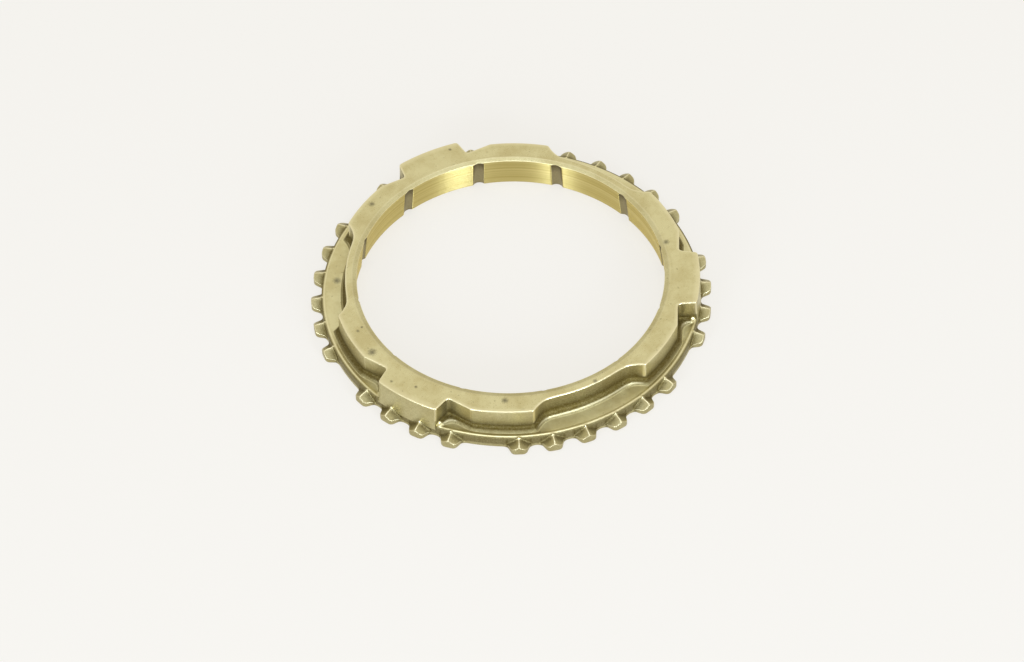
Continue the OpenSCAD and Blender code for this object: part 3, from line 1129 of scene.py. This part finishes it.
@dataclass(frozen=True)
class TurnedBrass(Finish):
    """Brass turned on a lathe: fine lines round the axis that stretch its highlights."""

    name: str = "turned_brass_bore"
    colour: str = "#DBCB87"
    shade: str = "#C8B66C"
    roughness: float = 0.42
    line_mm: float = 0.9
    round_per_m: float = 4.0
    relief_mm: float = 0.12

    def shader(self, tree: bpy.types.NodeTree, place: bpy.types.NodeSocket) -> bpy.types.Node:
        """Adds the nodes: two shades, roughness and relief in lines, with an upright tangent.

        Args:
            tree: The material's tree.
            place: Object coordinates.

        Returns:
            The shader.
        """
        # Tool lines lie along z only, so the noise is squeezed flat round the axis. Real ones
        # are a tenth of a millimetre apart, too fine for the picture, so these are coarser
        squeeze = (self.round_per_m, self.round_per_m, 1 / (self.line_mm * MM))
        flat = add_node(tree, "ShaderNodeMapping", {"in:Scale": squeeze},
                        {"Vector": place}).outputs["Vector"]
        lines = add_node(tree, "ShaderNodeTexNoise", {"in:Scale": 1.0, "in:Detail": 4.0},
                         {"Vector": flat}).outputs["Fac"]
        share, rough = (
            add_node(tree, "ShaderNodeMapRange",
                     {"in:From Min": start, "in:From Max": end, "in:To Min": low,
                      "in:To Max": high}, {"Value": lines}).outputs["Result"]
            for start, end, low, high in (
                (0.35, 0.65, 0.0, 1.0),
                (0.3, 0.7, self.roughness - 0.05, self.roughness + 0.06)))
        tint = add_node(tree, "ShaderNodeMix",
                        {"data_type": "RGBA", "in:6": srgb(self.colour), "in:7": srgb(self.shade)},
                        {0: share}).outputs[2]
        bump = add_node(tree, "ShaderNodeBump",
                        {"in:Strength": 0.8, "in:Distance": self.relief_mm * MM},
                        {"Height": lines})
        upright = add_node(tree, "ShaderNodeCombineXYZ", {"in:Z": 1.0})
        return add_node(tree, "ShaderNodeBsdfPrincipled",
                        {"in:Metallic": 1.0, "in:Anisotropic": 1.0},
                        {"Base Color": tint, "Roughness": rough, "Normal": bump.outputs[0],
                         "Tangent": upright.outputs[0]})


@dataclass(frozen=True)
class GrooveBrass(Finish):
    """The oil grooves' forged skin, which the lathe never reached: dull and grey-brown."""

    name: str = "oil_groove_forged_skin"
    colour: str = "#9F946E"
    dark: str = "#655A3C"
    roughness: float = 0.4
    grain_mm: float = 0.6
    relief_mm: float = 0.03

    def shader(self, tree: bpy.types.NodeTree, place: bpy.types.NodeSocket) -> bpy.types.Node:
        """Adds the nodes: a grainy skin that is darker towards the blind end.

        Args:
            tree: The material's tree.
            place: Object coordinates.

        Returns:
            The shader, which also reads the attribute that darkens the blind end.
        """
        grime_and_shade = add_node(tree, "ShaderNodeAttribute", {"attribute_name": "grime_and_shade"}).outputs["Fac"]
        grain = add_node(tree, "ShaderNodeTexNoise",
                         {"in:Scale": 1 / (self.grain_mm * MM), "in:Detail": 4.0},
                         {"Vector": place}).outputs["Fac"]
        clean = add_node(tree, "ShaderNodeMath",
                         {"operation": "MULTIPLY_ADD", "in:1": 0.6, "in:2": 0.7},
                         {0: grain}).outputs[0]
        shown = add_node(tree, "ShaderNodeMath", {"operation": "SUBTRACT", "use_clamp": True},
                         {0: clean, 1: grime_and_shade}).outputs[0]
        tint = add_node(tree, "ShaderNodeMix",
                        {"data_type": "RGBA", "in:6": srgb(self.dark), "in:7": srgb(self.colour)},
                        {0: shown}).outputs[2]
        bump = add_node(tree, "ShaderNodeBump",
                        {"in:Strength": 0.5, "in:Distance": self.relief_mm * MM},
                        {"Height": grain})
        return add_node(tree, "ShaderNodeBsdfPrincipled",
                        {"in:Metallic": 1.0, "in:Roughness": self.roughness},
                        {"Base Color": tint, "Normal": bump.outputs[0]})


@dataclass(frozen=True)
class Lamp:
    """A soft rectangular lamp that faces the ring, by its angles from the camera's side."""

    name: str
    azimuth: float
    height: float
    width: float
    tall: float
    watts: float
    distance: float = 1.1

    def hang(self, turn: float, colour: str) -> None:
        """Hangs the lamp.

        Args:
            turn: The camera's turn round the ring.
            colour: The light's colour.
        """
        data = bpy.data.lights.new(self.name, "AREA")
        data.shape, data.size, data.size_y = "RECTANGLE", self.width, self.tall
        data.energy, data.color = self.watts, srgb(colour)[:3]
        flat, lift = math.radians(self.azimuth + turn - 90.0), math.radians(self.height)
        back = np.array([math.cos(lift) * math.cos(flat), math.cos(lift) * math.sin(flat),
                         math.sin(lift)])
        side = np.cross([0.0, 0.0, 1.0], back)
        side /= np.linalg.norm(side)
        axes = np.stack([side, np.cross(back, side), back], axis=1)
        new_object(self.name, data).matrix_world = placed(axes, back * self.distance)


@dataclass(frozen=True)
class Studio:
    """A pale floor, soft lamps, and the camera that the picture was taken with."""

    turn: float = -24.43
    elevation: float = 49.31
    roll: float = -2.83
    distance: float = 952.45
    side: float = -18.16
    rise: float = -2.38
    base_z: float = 0.4
    focal_px: float = 3172.86
    shift_px: tuple[float, float] = (61.41, -26.28)
    floor_colour: str = "#F4F1EA"
    floor_z: float = -0.02
    floor_glow: float = 0.8
    room_level: float = 0.72
    lamp_colour: str = "#D6E4FF"
    lamps: tuple[Lamp, ...] = (
        Lamp("lamp_right", 29.5, 12.0, 0.34, 0.56, 10.4),
        Lamp("lamp_left", -33.5, 12.0, 0.34, 0.56, 8.8),
        Lamp("lamp_above", 0.0, 88.0, 0.5, 0.5, 3.2),
    )

    def place_camera(self) -> bpy.types.Object:
        """Makes the camera and sets it as the scene's.

        Its back axis points from the ring to the camera, and it is moved sideways and up
        in its own plane by two small lengths.

        Returns:
            The camera.
        """
        lift, roll, turn = (math.radians(a) for a in (self.elevation, self.roll, self.turn))
        back = np.array([0.0, -math.cos(lift), math.sin(lift)])
        right, up = np.array([1.0, 0.0, 0.0]), np.array([0.0, math.sin(lift), math.cos(lift)])
        own_right = right * math.cos(roll) + up * math.sin(roll)
        own_up = -right * math.sin(roll) + up * math.cos(roll)
        spot = back * self.distance + own_right * self.side + own_up * self.rise
        spin = np.array([[math.cos(turn), -math.sin(turn), 0.0],
                         [math.sin(turn), math.cos(turn), 0.0], [0.0, 0.0, 1.0]])
        axes = spin @ np.stack([own_right, own_up, back], axis=1)
        spot = spin @ spot + np.array([0.0, 0.0, self.base_z])
        data = bpy.data.cameras.new("camera")
        data.sensor_width = 36.0
        data.sensor_fit = "HORIZONTAL"
        data.lens = data.sensor_width * self.focal_px / PHOTO_WIDTH
        data.shift_x, data.shift_y = (s / PHOTO_WIDTH for s in self.shift_px)
        data.clip_start, data.clip_end = 0.01, 20.0
        camera = new_object("camera", data)
        camera.matrix_world = placed(axes, spot * MM)
        bpy.context.scene.camera = camera
        return camera

    def lay_floor(self) -> bpy.types.Object:
        """Makes the pale floor, a round plate on a grid of rings that the ring rests on.

        Returns:
            The floor, which is not part of the object.
        """
        turns = np.radians(np.arange(0, 360, 7.5))
        radii = np.array([0.02, 0.3, 1.2, 4.0])
        points = np.stack([np.outer(radii, np.cos(turns)), np.outer(radii, np.sin(turns)),
                           np.full((len(radii), len(turns)), self.floor_z * MM)],
                          axis=-1).reshape(-1, 3)
        number = np.arange(len(points)).reshape(len(radii), len(turns))
        right = np.roll(number, -1, axis=1)
        faces = np.stack([number[:-1], number[1:], right[1:], right[:-1]], axis=-1).reshape(-1, 4)
        mesh = bpy.data.meshes.new("floor")
        mesh.from_pydata(points.tolist(), [], faces.tolist() + [number[0].tolist()])
        floor = new_object("floor", mesh)
        material = bpy.data.materials.new("pale_floor")
        tree = empty_tree(material)
        matte = add_node(tree, "ShaderNodeBsdfDiffuse", {"in:Color": srgb(self.floor_colour)})
        glow = add_node(tree, "ShaderNodeEmission", {"in:Color": srgb(self.floor_colour)},
                        {"Strength": self.seen(tree)})
        mixed = add_node(tree, "ShaderNodeMixShader", {"in:0": self.floor_glow},
                         {1: matte.outputs[0], 2: glow.outputs[0]})
        add_node(tree, "ShaderNodeOutputMaterial", None, {"Surface": mixed.outputs[0]})
        mesh.materials.append(material)
        return floor

    def hang_lamps(self) -> None:
        """Hangs the lamps."""
        for lamp in self.lamps:
            lamp.hang(self.turn, self.lamp_colour)

    @staticmethod
    def seen(tree: bpy.types.NodeTree) -> bpy.types.NodeSocket:
        """Tells what the camera sees, also by way of metal or glass, from what only lights.

        Args:
            tree: The node tree.

        Returns:
            1 for rays from the camera or off metal or through glass, else 0.
        """
        path = add_node(tree, "ShaderNodeLightPath").outputs
        direct = add_node(tree, "ShaderNodeMath", {"operation": "MAXIMUM"},
                          {0: path["Is Camera Ray"], 1: path["Is Glossy Ray"]}).outputs[0]
        return add_node(tree, "ShaderNodeMath", {"operation": "MAXIMUM"},
                        {0: direct, 1: path["Is Transmission Ray"]}).outputs[0]

    def fill_world(self) -> None:
        """Fills the surroundings with a pale backdrop, dimmer low down and behind the camera."""
        world = bpy.data.worlds.new("studio")
        bpy.context.scene.world = world
        tree = empty_tree(world)
        front = math.radians(self.turn - 90.0)
        toward = add_node(tree, "ShaderNodeTexCoord").outputs["Generated"]
        height = add_node(tree, "ShaderNodeSeparateXYZ", None, {0: toward}).outputs["Z"]
        facing = add_node(tree, "ShaderNodeVectorMath",
                          {"operation": "DOT_PRODUCT",
                           "in:1": (math.cos(front), math.sin(front), 0.0)}, {0: toward})
        low, behind = (
            add_node(tree, "ShaderNodeMapRange",
                     {"interpolation_type": kind, "in:From Min": start, "in:From Max": end,
                      "in:To Min": first, "in:To Max": last}, {"Value": source}).outputs["Result"]
            for kind, source, start, end, first, last in (
                ("LINEAR", height, 0.0, 0.6, 0.75, 1.0),
                ("SMOOTHSTEP", facing.outputs["Value"], 0.4, 0.95, 1.0, 0.65)))
        level = add_node(tree, "ShaderNodeMath", {"operation": "MULTIPLY"}, {0: low, 1: behind})
        backdrop = add_node(tree, "ShaderNodeBackground", {"in:Color": srgb(self.floor_colour)},
                            {"Strength": level.outputs[0]})
        around = add_node(tree, "ShaderNodeBackground",
                          {"in:Color": srgb("#FFFFFF"), "in:Strength": self.room_level})
        mixed = add_node(tree, "ShaderNodeMixShader", None,
                         {0: self.seen(tree), 1: around.outputs[0], 2: backdrop.outputs[0]})
        add_node(tree, "ShaderNodeOutputWorld", None, {"Surface": mixed.outputs[0]})


def main() -> None:
    """Builds the ring and its studio."""
    logging.basicConfig(level=logging.INFO, format="%(name)s: %(message)s")
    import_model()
    bpy.context.scene.view_settings.view_transform = "Standard"
    skin = RingSkin()
    ring = skin.build()
    stains = [(x, y, skin.wall.ring_h, size) for x, y, size in FACE_STAINS]
    stains += [(x, y, skin.flange.web_z, size) for x, y, size in WEB_STAINS]
    forged = ForgedBrass(stains_mm=tuple(stains))
    for finish in (forged, TurnedBrass(), GrooveBrass()):
        ring.data.materials.append(finish.build())
        LOG.info("finish: %s", finish.name)
    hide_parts("synchronizer_ring")
    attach(ring, "root")
    studio = Studio()
    studio.lay_floor()
    studio.hang_lamps()
    studio.fill_world()
    studio.place_camera()


if __name__ == "__main__":
    main()
